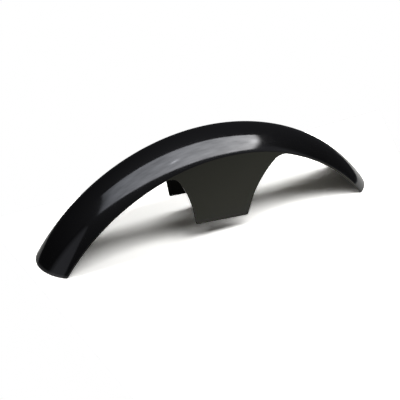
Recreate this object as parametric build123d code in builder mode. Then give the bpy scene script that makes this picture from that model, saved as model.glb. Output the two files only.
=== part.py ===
"""Front mudguard of a motorcycle: one moulded channel with two blank side flaps.

Frame: +X along the guard, +Y across it, +Z up, millimetres. The guard stands on its two trimmed
ends, with the origin on the floor under the middle of the crown.
"""
import os
from math import asin, cos, degrees, hypot, isclose, radians, sin, sqrt

from build123d import *

# Driving sizes, in millimetres and degrees
crown_radius = 376.5        # wheel centre to the outside of the crown
half_width = 52.5           # middle plane to the outside of each side wall
section_radius = 72.0       # outside of the arched cross section
bend_radius = 4.0           # outside of the bend from the arch into each side wall
lip_straight = 1.5          # flat part of the side wall left under the bend, clear of the flaps
wall = 3.0                  # thickness of the moulding all over
end_angle = 56.5            # from the top round to each trimmed end, measured at the lip
flap_axis = 2.8             # turn of the flap's middle line from upright, towards +X
flap_half_angle = 13.1      # from the flap's middle line to each of its straight sides
flap_reach = 223.0          # wheel centre to the middle of the flap's bottom edge
flap_bottom_tilt = 5.7      # slope of the bottom edge, falling towards +X
side_straight = 29.0        # straight part of the flap's sides, before they flare
flare_front = 165.0         # flare radius on the +X side
flare_back = 225.0          # flare radius on the -X side
root_radius = 24.0          # rounding where the flares run into the lip
corner_radius = 2.0         # rounding of the flap's bottom corners
edge_break = 0.6            # broken edges along the lips and flaps, on both skins

# Sizes that follow
arch_centre = crown_radius - section_radius
bend_side = half_width - bend_radius
bend_height = arch_centre + sqrt((section_radius - bend_radius) ** 2 - bend_side ** 2)
bend_start = degrees(asin(bend_side / (section_radius - bend_radius)))
lip_radius = bend_height - lip_straight
wheel_drop = lip_radius * cos(radians(end_angle))
flare_start = flap_reach + side_straight
wall_foot = flap_reach * 0.9
wheel_axis = Axis((0, 0, -wheel_drop), (0, 1, 0))
section_plane = Plane(origin=(0, 0, -wheel_drop), x_dir=(0, 1, 0), z_dir=(-1, 0, 0))


def channel(inset):
    """Outline of the channel, moved inwards by the inset and left straight below the bends."""
    with BuildLine() as outline:
        CenterArc((0, arch_centre), section_radius - inset, 90 - bend_start, 2 * bend_start)
        CenterArc((bend_side, bend_height), bend_radius - inset, 0, 90 - bend_start)
        CenterArc((-bend_side, bend_height), bend_radius - inset, 90 + bend_start, 90 - bend_start)
        Polyline(
            (half_width - inset, bend_height),
            (half_width - inset, wall_foot),
            (inset - half_width, wall_foot),
            (inset - half_width, bend_height),
        )
    return outline.edges()


def around_wheel(radius, angle):
    """Point in the side view at a radius and an angle from upright, as seen from the wheel centre."""
    return Vector(radius * sin(radians(angle)), radius * cos(radians(angle)) - wheel_drop)


def wheel_distance(point):
    """Distance of a point of the side view from the wheel centre."""
    return hypot(point.X, point.Y + wheel_drop)


def flap_corner(angle):
    """Where a straight side of the flap, at this angle, meets the sloping bottom edge."""
    off_axis = cos(radians(flap_bottom_tilt - flap_axis))
    return around_wheel(flap_reach * off_axis / cos(radians(angle - flap_bottom_tilt)), angle)


def flap_side(angle, flare, turn):
    """One side of the flap: a straight radial line that flares into the lip. Returns the far end."""
    foot = flap_corner(angle)
    knee = around_wheel(flare_start, angle)
    rise = lip_radius + bend_radius / 2 - flare_start
    Line(foot, knee)
    swing = JernArc(knee, around_wheel(1, angle) - around_wheel(0, angle), flare,
                    turn * degrees(asin(rise / flare)))
    return swing @ 1


with BuildPart() as mudguard:
    # Channel turned round the wheel centre, its seam kept in the half that is trimmed away
    with BuildSketch(section_plane):
        make_face(channel(0))
        make_face(channel(wall), mode=Mode.SUBTRACT)
    revolve(axis=wheel_axis, revolution_arc=360)

    # Side view that is kept: everything above the floor and outside the lip, and the flap below it
    with BuildSketch(Plane.XZ) as trim:
        with Locations((0, crown_radius / 2)):
            Rectangle(2 * crown_radius, crown_radius)
        with Locations((0, -wheel_drop)):
            Circle(lip_radius, mode=Mode.SUBTRACT)
        with BuildLine():
            Line(flap_corner(flap_axis - flap_half_angle), flap_corner(flap_axis + flap_half_angle))
            front = flap_side(flap_axis + flap_half_angle, flare_front, -1)
            back = flap_side(flap_axis - flap_half_angle, flare_back, 1)
            Polyline(front, around_wheel(crown_radius, 0), back)
        make_face()
        corners = trim.vertices().filter_by(lambda v: wheel_distance(v) < (flap_reach + flare_start) / 2)
        fillet(corners, corner_radius)
        on_lip = trim.vertices().filter_by(lambda v: isclose(wheel_distance(v), lip_radius, rel_tol=1e-6))
        roots = on_lip.filter_by(lambda v: v.Y > lip_straight)
        fillet(roots, root_radius)
    extrude(amount=2 * half_width, both=True, mode=Mode.INTERSECT)

    # Broken edges where the trimming cut the lips and flaps; the two ends stay square, as sawn
    flat_cuts = mudguard.faces().filter_by(GeomType.PLANE).filter_by(Axis.Y, reverse=True)
    round_cuts = mudguard.faces().filter_by(GeomType.CYLINDER)
    rim = (flat_cuts + round_cuts).edges().filter_by(Axis.Y, reverse=True)
    chamfer(rim.filter_by(lambda edge: edge.center().Z > edge_break), edge_break)

mudguard.part.label = "mudguard"
os.makedirs("parts", exist_ok=True)
export_step(mudguard.part, "parts/mudguard.step")
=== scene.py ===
"""Looks of the motorcycle front mudguard: a gloss black moulding on a pale floor under a soft panel.

Metres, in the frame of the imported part: +X along the guard, +Y across it, +Z up, floor at z = 0.
"""
from math import acos, asin, cos, pi, radians, sin, sqrt, tan

import bpy
import numpy as np
from mathutils import Matrix, Vector


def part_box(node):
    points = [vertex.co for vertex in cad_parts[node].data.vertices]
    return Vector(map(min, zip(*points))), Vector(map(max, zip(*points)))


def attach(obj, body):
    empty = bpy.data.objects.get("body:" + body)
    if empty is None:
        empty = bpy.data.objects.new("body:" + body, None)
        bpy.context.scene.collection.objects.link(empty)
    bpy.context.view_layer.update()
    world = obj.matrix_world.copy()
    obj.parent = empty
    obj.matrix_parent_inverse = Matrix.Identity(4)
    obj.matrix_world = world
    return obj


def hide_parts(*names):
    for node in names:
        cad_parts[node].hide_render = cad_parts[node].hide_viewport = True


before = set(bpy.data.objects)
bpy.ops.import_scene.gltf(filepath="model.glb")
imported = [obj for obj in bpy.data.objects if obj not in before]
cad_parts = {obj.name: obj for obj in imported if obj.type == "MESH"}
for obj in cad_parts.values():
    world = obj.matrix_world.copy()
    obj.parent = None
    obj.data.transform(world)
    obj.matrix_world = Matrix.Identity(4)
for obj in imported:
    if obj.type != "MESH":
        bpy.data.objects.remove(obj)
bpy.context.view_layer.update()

# Sizes read from the frame: the box gives the wheel's centre, the crown and the width
box_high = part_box("mudguard")[1]
half_width = box_high.y
crown_height = box_high.z
half_length = box_high.x
crown_radius = (half_length ** 2 / crown_height + crown_height) / 2
wheel_drop = crown_radius - crown_height

# Sizes of the moulding that the box does not give
section_radius = 0.072              # outside of the arched cross section
bend_radius = 0.004                 # outside of the bend into each side wall
lip_straight = 0.0015               # flat part of the wall under the bend
wall = 0.003
flap_axis = radians(2.8)            # turn of the flap's middle line towards +X
flap_half_angle = radians(13.1)     # middle line to each straight side
flap_reach = 0.223                  # wheel centre to the middle of the bottom edge
flap_bottom_tilt = radians(5.7)
flare_start = 0.252                 # wheel centre to where the sides start to flare
flare_front = 0.165
flare_back = 0.225
root_radius = 0.024
corner_radius = 0.002
rim_round = 0.0004                  # rounding of the lips and flaps
end_round = 0.0008                  # rounding of the two ends on the floor

# Sizes that follow
arch_centre = crown_radius - section_radius
bend_side = half_width - bend_radius
bend_height = arch_centre + sqrt((section_radius - bend_radius) ** 2 - bend_side ** 2)
bend_start = asin(bend_side / (section_radius - bend_radius))
lip_radius = bend_height - lip_straight
wheel_centre = np.array((0.0, -wheel_drop))

# Fineness of the mesh
crown_rows = 22
bend_rows = 7
wall_rows = 3
round_rows = 3
lip_columns = 92
end_gap = 0.008      # share of the turn between the rounded ends and the first column
root_columns = 10
flare_columns = 22
side_columns = 4
corner_columns = 6
bottom_columns = 18


def unit(vector):
    """The vector with a length of one."""
    return vector / np.linalg.norm(vector)


def around_wheel(radius, angle):
    """Point of the side view, as (x, z), at a radius and an angle from upright."""
    return wheel_centre + radius * np.array((sin(angle), cos(angle)))


def end_turn(radius, lift=0.0):
    """Angle from upright at which a radius comes down to a height above the floor."""
    return np.arccos((wheel_drop + lift) / radius)


def arc_points(centre, start, end, count, inward):
    """Points from start to end round a centre, and which way the material lies (1 away from the centre)."""
    first = start - centre
    last = end - centre
    sweep = np.arctan2(first[0] * last[1] - first[1] * last[0], first @ last)
    turns = np.linspace(0, sweep, count + 1)
    spokes = np.stack((first[0] * np.cos(turns) - first[1] * np.sin(turns),
                       first[0] * np.sin(turns) + first[1] * np.cos(turns)), axis=1)
    return centre + spokes, inward * spokes / np.linalg.norm(first)


def line_points(start, end, count, inward):
    """Points along a straight edge, with the direction into the material."""
    steps = np.linspace(0, 1, count + 1)[:, None]
    return start + steps * (end - start), np.repeat(inward[None], count + 1, axis=0)


def flap_side(side, flare):
    """Half of the flap's outline, from the lip to the middle of the bottom edge. Side is 1 towards +X."""
    angle = flap_axis + side * flap_half_angle
    upward = np.array((sin(angle), cos(angle)))
    outward = side * np.array((cos(angle), -sin(angle)))
    along_bottom = side * np.array((-cos(flap_bottom_tilt), sin(flap_bottom_tilt)))
    knee = around_wheel(flare_start, angle)
    middle_reach = flap_reach * cos(flap_bottom_tilt - flap_axis)
    corner = around_wheel(middle_reach / cos(angle - flap_bottom_tilt), angle)
    middle = around_wheel(flap_reach, flap_axis)

    # Root circle inside both the lip circle and the flare circle, touching each
    flare_centre = knee + flare * outward
    to_flare = flare_centre - wheel_centre
    span = np.linalg.norm(to_flare)
    lip_reach = lip_radius - root_radius
    flare_reach = flare - root_radius
    along = (span ** 2 + lip_reach ** 2 - flare_reach ** 2) / (2 * span)
    aside = sqrt(lip_reach ** 2 - along ** 2)
    axis = to_flare / span
    root_centre = wheel_centre + along * axis + side * aside * np.array((-axis[1], axis[0]))
    lip_end = wheel_centre + lip_radius * unit(root_centre - wheel_centre)
    flare_end = flare_centre + flare * unit(root_centre - flare_centre)

    # Corner circle touching the straight side and the bottom edge
    half_corner = acos(upward @ along_bottom) / 2
    corner_run = corner_radius / tan(half_corner)
    corner_centre = corner + unit(upward + along_bottom) * corner_radius / sin(half_corner)
    side_end = corner + corner_run * upward
    bottom_end = corner + corner_run * along_bottom

    runs = (
        arc_points(root_centre, lip_end, flare_end, root_columns, 1),
        arc_points(flare_centre, flare_end, knee, flare_columns, 1),
        line_points(knee, side_end, side_columns, -outward),
        arc_points(corner_centre, side_end, bottom_end, corner_columns, -1),
        line_points(bottom_end, middle, bottom_columns // 2,
                    np.array((sin(flap_bottom_tilt), cos(flap_bottom_tilt)))),
    )
    points = np.concatenate([run[0][:-1] for run in runs] + [runs[-1][0][-1:]])
    inward = np.concatenate([run[1][:-1] for run in runs] + [runs[-1][1][-1:]])
    return points, inward


def trim_outline():
    """Lower edge of the side view from end to end: points, directions into the wall, shares of the turn."""
    back_points, back_inward = flap_side(-1, flare_back)
    front_points, front_inward = flap_side(1, flare_front)
    points = np.concatenate((back_points, front_points[-2::-1]))
    inward = np.concatenate((back_inward, front_inward[-2::-1]))
    from_wheel = points - wheel_centre
    shares = np.arctan2(from_wheel[:, 0], from_wheel[:, 1]) / end_turn(lip_radius)
    steps = np.linalg.norm(np.diff(points, axis=0), axis=1)
    run = np.concatenate(((0,), np.cumsum(steps))) / steps.sum()
    even = shares[0] + (shares[-1] - shares[0]) * run
    flap = [(points[i], inward[i], (shares[i] + even[i]) / 2) for i in range(len(points))]

    def lip(first, last):
        found = []
        for share in np.linspace(first, last, lip_columns + 1):
            point = around_wheel(lip_radius, share * end_turn(lip_radius))
            found.append((point, unit(point - wheel_centre), share))
        return found

    edge = 1 - end_gap
    return lip(-edge, shares[0])[:-1] + flap + lip(shares[-1], edge)[1:]


def half_section(inset):
    """Half of the skin from the crown's middle to the top of the wall: side, radius and angle of slope."""
    crown = np.linspace(0, bend_start, crown_rows + 1)
    bend = np.linspace(bend_start, pi / 2, bend_rows + 1)[1:]
    slope = np.concatenate((crown, bend))
    on_crown = np.arange(len(slope)) <= crown_rows
    big = section_radius - inset
    small = bend_radius - inset
    side = np.where(on_crown, big * np.sin(slope), bend_side + small * np.sin(slope))
    radius = np.where(on_crown, arch_centre + big * np.cos(slope), bend_height + small * np.cos(slope))
    return side, radius, slope


def skin_points(inset, turn, facing):
    """One half skin at a turn round the wheel: places and normals. Facing is 1 outside and -1 inside."""
    side, radius, slope = half_section(inset)
    angle = turn(radius)
    places = np.stack((radius * np.sin(angle), side, radius * np.cos(angle) - wheel_drop), axis=1)
    normals = facing * np.stack((np.cos(slope) * np.sin(angle), np.sin(slope),
                                 np.cos(slope) * np.cos(angle)), axis=1)
    return places, normals


def side_view(points, across):
    """Points of the side view set at distances across the guard."""
    across = np.broadcast_to(across, len(points))
    return np.stack((points[:, 0], across, points[:, 1]), axis=1)


def half_ring(turn, foot, inward, inset):
    """Half of a closed loop through the wall: down the outside, round the rim and up the inside."""
    outer, outer_normals = skin_points(inset, turn, 1)
    inner, inner_normals = skin_points(wall - inset, turn, -1)
    top = outer[-1, [0, 2]]
    low = foot + rim_round * inward
    steps = np.linspace(0, 1, wall_rows + 1)[1:, None]
    wall_line = top + steps * (low - top)
    sideways = np.array((0.0, 1.0, 0.0))
    downward = -np.array((inward[0], 0.0, inward[1]))

    # Rounded rim: a quarter turn on each skin, with the cut face between them
    turns = np.linspace(0, pi / 2, round_rows + 1)[1:]
    rounding = max(rim_round - inset, 0.0)
    sunk = low[None] - rounding * np.sin(turns)[:, None] * inward
    outer_rim = side_view(sunk, half_width - rim_round + rounding * np.cos(turns))
    inner_rim = side_view(sunk[::-1], half_width - wall + rim_round - rounding * np.cos(turns[::-1]))
    rim_normals = np.cos(turns)[:, None] * sideways + np.sin(turns)[:, None] * downward
    mirrored = rim_normals[::-1] * (1, -1, 1)

    flat_normals = np.repeat(sideways[None], wall_rows, axis=0)
    places = np.concatenate((
        outer, side_view(wall_line, half_width - inset), outer_rim,
        inner_rim, side_view(wall_line[::-1], half_width - wall + inset), inner[::-1]))
    normals = np.concatenate((
        outer_normals, flat_normals, rim_normals,
        mirrored, -flat_normals, inner_normals[::-1]))
    return places, normals


def whole_ring(places, normals):
    """The half loop and its mirror image, joined into one closed loop."""
    flip = np.array((1, -1, 1))
    return (np.concatenate((places, places[-2:0:-1] * flip)),
            np.concatenate((normals, normals[-2:0:-1] * flip)))


def end_rings(side):
    """Loops that round off one end, from the skin down to the cut face on the floor."""
    rings = []
    for step in np.linspace(0, pi / 2, round_rows + 1):
        lift = end_round * (1 - sin(step))
        inset = end_round * (1 - cos(step))

        def turn(radius):
            return side * end_turn(radius, lift)

        foot = around_wheel(lip_radius, turn(lip_radius))
        places, normals = half_ring(turn, foot, unit(foot - wheel_centre), inset)
        normals = cos(step) * normals + sin(step) * np.array((0, 0, -1))
        normals /= np.linalg.norm(normals, axis=1)[:, None]
        rings.append(whole_ring(places, normals))
    return rings


def shell_mesh():
    """The whole moulding as one closed mesh with exact normals. Inside faces take the second material."""
    rings = end_rings(-1)[::-1]
    for foot, inward, share in trim_outline():
        def turn(radius):
            return share * end_turn(radius)
        rings.append(whole_ring(*half_ring(turn, foot, inward, 0.0)))
    rings += end_rings(1)

    size = len(rings[0][0])
    half = size // 2 + 1
    faces = []
    inside = []
    for column in range(len(rings) - 1):
        for row in range(size):
            following = (row + 1) % size
            here = column * size
            there = here + size
            faces.append((here + row, here + following, there + following, there + row))
            inside.append(half // 2 <= row < size - half // 2)

    # End caps: each outside point is joined across the wall to its partner on the inside
    for start in (0, (len(rings) - 1) * size):
        for row in range(half // 2 - 1):
            partner = half - 1 - row
            near = (row, row + 1, partner - 1, partner)
            mirrored = [(size - point) % size for point in near]
            for cap in (near, mirrored):
                faces.append([start + point for point in cap])
                inside.append(False)

    places = np.concatenate([ring[0] for ring in rings])
    normals = np.concatenate([ring[1] for ring in rings])
    mesh = bpy.data.meshes.new("mudguard_shell")
    mesh.from_pydata(places.tolist(), [], outward_faces(faces, places, normals))
    mesh.polygons.foreach_set("material_index", np.array(inside, dtype=np.int32))
    mesh.polygons.foreach_set("use_smooth", np.ones(len(faces), dtype=bool))
    mesh.normals_split_custom_set_from_vertices(normals.tolist())
    mesh.update()
    return mesh


def outward_faces(faces, places, normals):
    """The faces, each wound so that it faces the way its corners' normals point."""
    corners = np.array(faces)
    across = places[corners[:, 2]] - places[corners[:, 0]]
    along = places[corners[:, 3]] - places[corners[:, 1]]
    facing = np.einsum("ij,ij->i", np.cross(across, along), normals[corners].sum(axis=1))
    corners[facing < 0] = corners[facing < 0][:, ::-1]
    return corners.tolist()


# Finish: colours, roughness, depths of relief in metres, and scales of the noise per metre
coat_shine = 0.28
coat_black = (0.0015, 0.0015, 0.0017, 1)
coat_cloud = (0.0023, 0.0023, 0.0026, 1)
coat_cloud_scale = 14.0
coat_smooth, coat_hazy = 0.06, 0.14
haze_least, haze_most = 0.3, 0.75
haze_scale = 22.0
wave_depth, wave_scale = 0.00012, 18.0
peel_depth, peel_scale = 0.0000035, 420.0
# Painted highlight: a lighter grey base colour just above the two ends, for the light rim along their edges
edge_highlight_height = 0.006
edge_highlight_grey = (0.045, 0.045, 0.047, 1)

laminate_shine = 0.08
laminate_black = (0.0005, 0.0005, 0.0005, 1)
laminate_strand = (0.0018, 0.0018, 0.0016, 1)
strand_least, strand_most = 0.35, 0.7
strand_depth, strand_scale = 0.00025, 160.0
laminate_smooth, laminate_rough = 0.38, 0.62


def new_material(name):
    """A new material with an empty node tree, and that tree."""
    material = bpy.data.materials.new(name)
    material.use_nodes = True
    tree = material.node_tree
    tree.nodes.clear()
    return material, tree


def add(tree, kind, **settings):
    """A node of this kind with its settings and the values of its inputs."""
    node = tree.nodes.new(kind)
    for name, value in settings.items():
        if name == "inputs":
            for socket, amount in value.items():
                node.inputs[socket].default_value = amount
        else:
            setattr(node, name, value)
    return node


def gel_coat():
    """Gloss black gel coat: a trace of orange peel, long soft waves, faint haze and a painted highlight
    along the trimmed ends.
    """
    material, tree = new_material("gloss_black_gel_coat")
    link = tree.links.new
    place = add(tree, "ShaderNodeTexCoord")
    shader = add(tree, "ShaderNodeBsdfPrincipled", inputs={"Specular IOR Level": coat_shine, "IOR": 1.5})
    out = add(tree, "ShaderNodeOutputMaterial")
    link(shader.outputs["BSDF"], out.inputs["Surface"])

    # Colour: black with a slight cloudiness
    cloud = add(tree, "ShaderNodeTexNoise",
                inputs={"Scale": coat_cloud_scale, "Detail": 3.0, "Roughness": 0.55})
    tone = add(tree, "ShaderNodeValToRGB")
    tone.color_ramp.elements[0].color = coat_black
    tone.color_ramp.elements[1].color = coat_cloud
    link(place.outputs["Object"], cloud.inputs["Vector"])
    link(cloud.outputs["Fac"], tone.inputs["Fac"])

    # Painted highlight: lighter grey for a few millimetres above the trimmed ends, which stand on the floor
    height = add(tree, "ShaderNodeSeparateXYZ")
    edge_highlight = add(tree, "ShaderNodeMapRange",
                 inputs={"From Min": end_round, "From Max": edge_highlight_height, "To Min": 1.0, "To Max": 0.0})
    coat = add(tree, "ShaderNodeMix", data_type="RGBA", inputs={7: edge_highlight_grey})
    link(place.outputs["Object"], height.inputs["Vector"])
    link(height.outputs["Z"], edge_highlight.inputs["Value"])
    link(edge_highlight.outputs["Result"], coat.inputs[0])
    link(tone.outputs["Color"], coat.inputs[6])
    link(coat.outputs[2], shader.inputs["Base Color"])

    # Haze: roughness drifts a little over the surface
    haze = add(tree, "ShaderNodeTexNoise", inputs={"Scale": haze_scale, "Detail": 5.0, "Roughness": 0.6})
    rough = add(tree, "ShaderNodeMapRange",
                inputs={"From Min": haze_least, "From Max": haze_most,
                        "To Min": coat_smooth, "To Max": coat_hazy})
    link(place.outputs["Object"], haze.inputs["Vector"])
    link(haze.outputs["Fac"], rough.inputs["Value"])
    link(rough.outputs["Result"], shader.inputs["Roughness"])

    # Relief: long waves from the mould with fine orange peel on top
    waves = add(tree, "ShaderNodeTexNoise", inputs={"Scale": wave_scale, "Detail": 1.0})
    peel = add(tree, "ShaderNodeTexNoise", inputs={"Scale": peel_scale, "Detail": 2.0})
    wave_bump = add(tree, "ShaderNodeBump", inputs={"Strength": 1.0, "Distance": wave_depth})
    peel_bump = add(tree, "ShaderNodeBump", inputs={"Strength": 1.0, "Distance": peel_depth})
    link(place.outputs["Object"], waves.inputs["Vector"])
    link(place.outputs["Object"], peel.inputs["Vector"])
    link(waves.outputs["Fac"], wave_bump.inputs["Height"])
    link(peel.outputs["Fac"], peel_bump.inputs["Height"])
    link(wave_bump.outputs["Normal"], peel_bump.inputs["Normal"])
    link(peel_bump.outputs["Normal"], shader.inputs["Normal"])
    return material


def laminate():
    """Plain black laminate inside: satin, with the strands of the mat showing through."""
    material, tree = new_material("black_laminate")
    link = tree.links.new
    place = add(tree, "ShaderNodeTexCoord")
    shader = add(tree, "ShaderNodeBsdfPrincipled", inputs={"Specular IOR Level": laminate_shine})
    out = add(tree, "ShaderNodeOutputMaterial")
    link(shader.outputs["BSDF"], out.inputs["Surface"])

    strands = add(tree, "ShaderNodeTexNoise",
                  inputs={"Scale": strand_scale, "Detail": 6.0, "Roughness": 0.7, "Distortion": 2.5})
    tone = add(tree, "ShaderNodeValToRGB")
    tone.color_ramp.elements[0].position = strand_least
    tone.color_ramp.elements[1].position = strand_most
    tone.color_ramp.elements[0].color = laminate_black
    tone.color_ramp.elements[1].color = laminate_strand
    rough = add(tree, "ShaderNodeMapRange", inputs={"To Min": laminate_smooth, "To Max": laminate_rough})
    bump = add(tree, "ShaderNodeBump", inputs={"Strength": 0.8, "Distance": strand_depth})
    link(place.outputs["Object"], strands.inputs["Vector"])
    link(strands.outputs["Fac"], tone.inputs["Fac"])
    link(strands.outputs["Fac"], rough.inputs["Value"])
    link(strands.outputs["Fac"], bump.inputs["Height"])
    link(tone.outputs["Color"], shader.inputs["Base Color"])
    link(rough.outputs["Result"], shader.inputs["Roughness"])
    link(bump.outputs["Normal"], shader.inputs["Normal"])
    return material


def link_object(name, data):
    """A new object in the scene."""
    made = bpy.data.objects.new(name, data)
    bpy.context.scene.collection.objects.link(made)
    return made


# The guard
shell = link_object("mudguard_shell", shell_mesh())
shell.data.materials.append(gel_coat())
shell.data.materials.append(laminate())
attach(shell, "root")
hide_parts("mudguard")

# Stage: sizes in metres, brightness where plain white is 1

# White sheet on the floor. Its level is what mirrors and glass show, its exposure what the camera sees. The
# level is painted light: brighter to the right and falling off to the front and back
sheet_left, sheet_right = -0.345, 0.413
sheet_front, sheet_back = -0.9, 0.175
sheet_front_spread, sheet_back_spread = 1.0, 0.3    # how the right edge runs outwards, each way
sheet_columns = 41
sheet_rows = 45
sheet_bounce = (0.92, 0.92, 0.90, 1)
sheet_exposed = (2.01, 2.0, 1.96)
# Painted light for the camera: the exposure rises towards +X as stronger light would make it
sheet_exposed_gain = 0.89                           # per metre towards +X
sheet_tint = np.array((0.97, 0.97, 0.96))
sheet_warm_tint = np.array((0.945, 0.955, 0.785))
sheet_warm_start, sheet_warm_run = -0.05, 0.07      # the warm tint sets in towards the front
# Painted light in the mirrored level: it rises to the right and falls off away from the bright line
sheet_level = 1.03
sheet_gain = 1.1                                    # per metre towards +X
sheet_bright_line = -0.1
sheet_falloff = 2.1                                 # per metre away from the bright line
sheet_least = 0.15

# Even fill from all round for what is lit
fill_level = 0.066
fill_tint = (1.0, 0.97, 0.87, 1)

# Dim room in reflections, with a glow in front and to the right: angles in degrees from +X to the front
room_radius = 9.0
room_columns = 120
room_rows = 61
room_tint = np.array((1.0, 1.01, 1.11))
room_low = 0.022
room_rise = 0.1
room_top = 0.28
room_right = 0.035
glow_level = 0.75
glow_start = 14.0
glow_edge = 6.0
glow_full = 40.0
glow_fade = 42.0
glow_sink = 0.75                                    # how much weaker it is overhead

# Pale card on the left, drawn as a glow with painted light seen only in reflections, its sizes as shares of
# its distance
card_distance = 3.0
card_columns = 25
card_rows = 25
card_top = 0.86
card_far = 0.33
card_near, card_taper = -0.62, 0.55
card_level = 0.74
card_fade = 0.27
card_tint = np.array((0.96, 0.98, 1.10))

# Cloth panel overhead, with a bulb near its right end and a smaller one near its middle
panel_height = 1.6
panel_columns = 140
panel_rows = 61
panel_left, panel_left_slant, panel_left_hollow = -1.48, 0.32, 0.3
panel_right, panel_right_slant = 1.60, 0.12
panel_near, panel_far = -0.93, 0.53
panel_bow, panel_bow_middle = 0.113, 1.0
panel_tint = np.array((0.94, 0.98, 1.09))
panel_hot_tint = np.array((0.99, 0.985, 1.0))       # at the right end
panel_level = 8.4
panel_gain = 3.5                                    # per metre towards +X
panel_slope = 0.28                                  # loss per metre towards +Y
panel_fade, panel_dim_end = 0.08, 0.5               # dimmed share of the length, and how bright its end is
panel_soft_end = 0.15                               # metres over which the right end goes dark
bulb_place, bulb_size = (1.47, -0.10), (0.12, 0.26)
bulb_level = 10.5
glint_place, glint_size, glint_lean = (0.02, -0.23), (0.05, 0.06), 0.5
glint_level = 17.0
ripple_depth = 0.042
ripple_waves = 9
ripple_pitch, ripple_shrink = 0.9, 1.25             # length of the first wave, and ratio to the next
ripple_turn = radians(137.5)

# Strip lamps: places and sizes as shares of their height, powers in watts
lamp_height = 5.0
front_lamp_place = (0.611, -0.43)
front_lamp_size = (1.564, 0.425)
front_lamp_power = 258.0
back_lamp_place = (-0.23, 0.147)
back_lamp_size = (1.816, 0.329)
back_lamp_power = 171.0
left_lamp_place = (-0.55, -0.302)
left_lamp_size = (0.603, 0.185)
left_lamp_power = 50.0


def eye_rays(tree):
    """Whether a ray comes straight from the camera, and whether it comes by way of a mirror or glass."""
    path = add(tree, "ShaderNodeLightPath")
    mirrored = add(tree, "ShaderNodeMath", operation="MAXIMUM")
    tree.links.new(path.outputs["Is Glossy Ray"], mirrored.inputs[0])
    tree.links.new(path.outputs["Is Transmission Ray"], mirrored.inputs[1])
    return path.outputs["Is Camera Ray"], mirrored.outputs["Value"]


def mixed(tree, share, first, second):
    """The second shader where the share is one, and the first elsewhere."""
    mix = add(tree, "ShaderNodeMixShader")
    tree.links.new(share, mix.inputs["Fac"])
    tree.links.new(first, mix.inputs[1])
    tree.links.new(second, mix.inputs[2])
    return mix.outputs["Shader"]


def white_sheet():
    """White paper: more exposed to the right for the camera, painted light for the stronger light on that
    side, and at its own level in mirrors and glass.
    """
    material, tree = new_material("white_sheet")
    link = tree.links.new
    bounce = add(tree, "ShaderNodeBsdfDiffuse", inputs={"Color": sheet_bounce})
    mirror = add(tree, "ShaderNodeBsdfDiffuse")
    bright = add(tree, "ShaderNodeBsdfDiffuse")
    out = add(tree, "ShaderNodeOutputMaterial")

    # In mirrors and glass: the level kept at the corners
    level = add(tree, "ShaderNodeAttribute", attribute_name="level")
    link(level.outputs["Color"], mirror.inputs["Color"])

    # For the camera: an exposure that rises along the sheet, painted light for the stronger light towards
    # +X
    place = add(tree, "ShaderNodeTexCoord")
    split = add(tree, "ShaderNodeSeparateXYZ")
    rise = add(tree, "ShaderNodeMath", operation="MULTIPLY_ADD", inputs={1: sheet_exposed_gain, 2: 1.0})
    exposed = add(tree, "ShaderNodeVectorMath", operation="SCALE", inputs={"Vector": sheet_exposed})
    link(place.outputs["Object"], split.inputs["Vector"])
    link(split.outputs["X"], rise.inputs[0])
    link(rise.outputs["Value"], exposed.inputs["Scale"])
    link(exposed.outputs["Vector"], bright.inputs["Color"])

    straight, mirrored = eye_rays(tree)
    seen = mixed(tree, mirrored, bounce.outputs["BSDF"], mirror.outputs["BSDF"])
    link(mixed(tree, straight, seen, bright.outputs["BSDF"]), out.inputs["Surface"])
    return material


def white_world():
    """White round the floor for what is seen, and an even fill for what is lit."""
    world = bpy.data.worlds.new("white_surround")
    world.use_nodes = True
    tree = world.node_tree
    tree.nodes.clear()
    fill = add(tree, "ShaderNodeBackground", inputs={"Color": fill_tint, "Strength": fill_level})
    white = add(tree, "ShaderNodeBackground", inputs={"Color": (1, 1, 1, 1), "Strength": 1.0})
    out = add(tree, "ShaderNodeOutputWorld")
    straight, mirrored = eye_rays(tree)
    seen = mixed(tree, mirrored, fill.outputs["Background"], white.outputs["Background"])
    tree.links.new(mixed(tree, straight, seen, white.outputs["Background"]), out.inputs["Surface"])
    return world


def glow(name):
    """A surface that glows with the level kept at each corner of its mesh."""
    material, tree = new_material(name)
    level = add(tree, "ShaderNodeAttribute", attribute_name="level")
    light = add(tree, "ShaderNodeEmission", inputs={"Strength": 1.0})
    out = add(tree, "ShaderNodeOutputMaterial")
    tree.links.new(level.outputs["Color"], light.inputs["Color"])
    tree.links.new(light.outputs["Emission"], out.inputs["Surface"])
    return material


def grid_faces(rows, columns, around):
    """Faces of a grid of points that is kept row by row. Around joins the end of each row to its start."""
    faces = []
    for row in range(rows - 1):
        for column in range(columns if around else columns - 1):
            here = row * columns + column
            after = row * columns + (column + 1) % columns
            faces.append((here, after, after + columns, here + columns))
    return faces


def stage_grid(name, x, y, z, level, tint, material, around=False):
    """A grid of points that belongs to the stage and not to the part, with a tinted level at each point."""
    places = np.stack((x, y, z), axis=-1).reshape(-1, 3)
    mesh = bpy.data.meshes.new(name)
    mesh.from_pydata(places.tolist(), [], grid_faces(*x.shape, around))
    mesh.materials.append(material)
    colours = np.ones((len(places), 4), dtype=np.float32)
    colours[:, :3] = (level[..., None] * tint).reshape(-1, 3)
    layer = mesh.color_attributes.new("level", "FLOAT_COLOR", "POINT")
    layer.data.foreach_set("color", colours.ravel())
    made = link_object(name, mesh)
    return made


def reflections_only(made):
    """Hides a stage piece from all but the reflections."""
    made.visible_camera = False
    made.visible_diffuse = False
    made.visible_shadow = False


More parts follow.
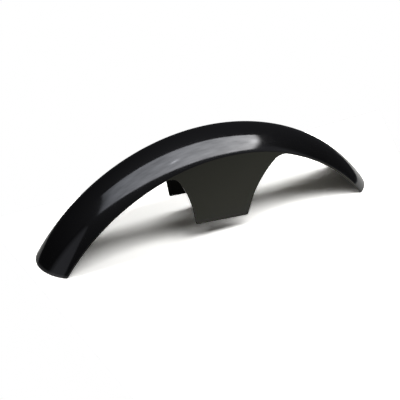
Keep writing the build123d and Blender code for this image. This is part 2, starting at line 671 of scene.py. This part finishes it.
def floor():
    """The sheet of paper, wider towards the front. In reflections it is painted light: brighter to the
    right, falling off away from a bright line and warmer towards the front.
    """
    along, across = np.meshgrid(np.linspace(0, 1, sheet_columns), np.linspace(0, 1, sheet_rows))
    y = sheet_front + (sheet_back - sheet_front) * across
    in_front = np.maximum(-y, 0)
    behind = np.maximum(y, 0)
    right = sheet_right + sheet_front_spread * in_front + sheet_back_spread * behind
    x = sheet_left + (right - sheet_left) * along
    # Painted light: the mirrored level falls off away from the bright line and rises to the right
    fall = np.maximum(1 - sheet_falloff * np.abs(y - sheet_bright_line), sheet_least)
    level = (sheet_level + sheet_gain * x) * fall
    warm = np.clip((sheet_warm_start - y) / sheet_warm_run, 0, 1)[..., None]
    tint = sheet_tint + (sheet_warm_tint - sheet_tint) * warm
    stage_grid("floor", x, y, np.zeros_like(x), level, tint, white_sheet())


def room_levels(x, y, z):
    """Brightness of the dim room in each direction: darker low down, paler in front and to the right."""
    up = np.maximum(z, 0)
    dim = room_low + room_rise * up + room_top * up ** 3 + room_right * np.maximum(x, 0)
    turn = np.degrees(np.arctan2(-y, x))
    start = np.clip((turn - glow_start) / glow_edge, 0, 1)
    fade = np.exp(-np.maximum(turn - glow_full, 0) / glow_fade)
    return dim + glow_level * start * fade * (1 - glow_sink * z)


def dim_room():
    """A sphere round the set."""
    turn, rise = np.meshgrid(np.linspace(-pi, pi, room_columns, endpoint=False),
                             np.linspace(-pi / 2, pi / 2, room_rows))
    x = np.cos(rise) * np.cos(turn)
    y = np.cos(rise) * np.sin(turn)
    z = np.sin(rise)
    reach = room_radius
    room = stage_grid("dim_room", reach * x, reach * y, reach * z, room_levels(x, y, z), room_tint,
                      glow("room_glow"), around=True)
    reflections_only(room)


def left_card():
    """A pale card standing on the left, drawn as a glow whose painted light fades towards its far edge,
    seen only in reflections. Its sizes are shares of its distance.
    """
    across, z = np.meshgrid(np.linspace(0, 1, card_columns), np.linspace(0, card_top, card_rows))
    far = card_far * (1 - z)
    near = card_near + card_taper * z ** 2
    y = near + (far - near) * across
    level = card_level * np.minimum((far - y) / card_fade, 1)
    reach = card_distance
    card = stage_grid("left_card", np.full_like(y, -reach), reach * y, reach * z, level, card_tint,
                      glow("card_glow"))
    reflections_only(card)


def ripple(x, y):
    """Unevenness of the panel's cloth: plane waves on turning headings, each finer than the one before."""
    total = np.zeros_like(x)
    for step in range(ripple_waves):
        heading = step * ripple_turn
        pitch = ripple_pitch / ripple_shrink ** step
        total += np.sin(2 * pi / pitch * (x * cos(heading) + y * sin(heading)) + step)
    return total


def bright_patch(x, y, place, size, lean=0.0):
    """A soft patch on the panel where a bulb shows through the cloth, 1 at its middle."""
    along = x - place[0]
    across = y - place[1] - lean * along
    return np.exp(-(along / size[0]) ** 2 - (across / size[1]) ** 2)


def soft_panel():
    """A bowed cloth panel overhead, brighter to the front and to the right, with two bulbs behind it."""
    along, across = np.meshgrid(np.linspace(0, 1, panel_columns), np.linspace(0, 1, panel_rows))
    left = panel_left + panel_left_slant * across + panel_left_hollow * across * (1 - across)
    right = panel_right + panel_right_slant * across
    x = left + (right - left) * along
    y = panel_near + (panel_far - panel_near) * across + panel_bow * (x - panel_bow_middle) ** 2
    level = (panel_level + panel_gain * x) * (1 - panel_slope * y) * (1 + ripple_depth * ripple(x, y))
    level += bulb_level * bright_patch(x, y, bulb_place, bulb_size)
    level += glint_level * bright_patch(x, y, glint_place, glint_size, glint_lean)
    level *= np.minimum(panel_dim_end + (1 - panel_dim_end) * along / panel_fade, 1)
    level *= np.minimum((right - x) / panel_soft_end, 1)
    tint = panel_tint + (panel_hot_tint - panel_tint) * along[..., None]
    panel = stage_grid("soft_panel", x, y, np.full_like(x, panel_height), level, tint,
                       glow("panel_glow"))
    reflections_only(panel)


def strip_lamp(name, place, size, power):
    """A long lamp overhead that leaves no mirror image. Place and size are shares of its height."""
    data = bpy.data.lights.new(name, "AREA")
    data.shape = "RECTANGLE"
    data.size = size[0] * lamp_height
    data.size_y = size[1] * lamp_height
    data.energy = power
    lamp = link_object(name, data)
    lamp.location = (place[0] * lamp_height, place[1] * lamp_height, lamp_height)
    lamp.visible_glossy = False


# Stage: a white sheet for a floor, what the gloss mirrors, the lamps and the fill
floor()
dim_room()
left_card()
soft_panel()
strip_lamp("front_lamp", front_lamp_place, front_lamp_size, front_lamp_power)
strip_lamp("back_lamp", back_lamp_place, back_lamp_size, back_lamp_power)
strip_lamp("left_lamp", left_lamp_place, left_lamp_size, left_lamp_power)
bpy.context.scene.world = white_world()

# Camera at the photograph's place
camera_place = Vector((-2.08799, -3.94496, 2.97595))
camera_azimuth = radians(27.815)
camera_elevation = radians(33.310)
camera_roll = radians(0.147)
camera_data = bpy.data.cameras.new("camera")
camera_data.lens = 271.1
camera_data.sensor_width = 36.0
camera_data.sensor_fit = "HORIZONTAL"
camera = link_object("camera", camera_data)
backward = Vector((-sin(camera_azimuth) * cos(camera_elevation),
                   -cos(camera_azimuth) * cos(camera_elevation), sin(camera_elevation)))
level_right = Vector((cos(camera_azimuth), -sin(camera_azimuth), 0.0))
level_up = backward.cross(level_right)
rolled_right = cos(camera_roll) * level_right + sin(camera_roll) * level_up
rolled_up = cos(camera_roll) * level_up - sin(camera_roll) * level_right
camera.matrix_world = Matrix.Translation(camera_place) @ Matrix(
    (rolled_right, rolled_up, backward)).transposed().to_4x4()
bpy.context.scene.camera = camera
bpy.context.scene.view_settings.view_transform = "Standard"
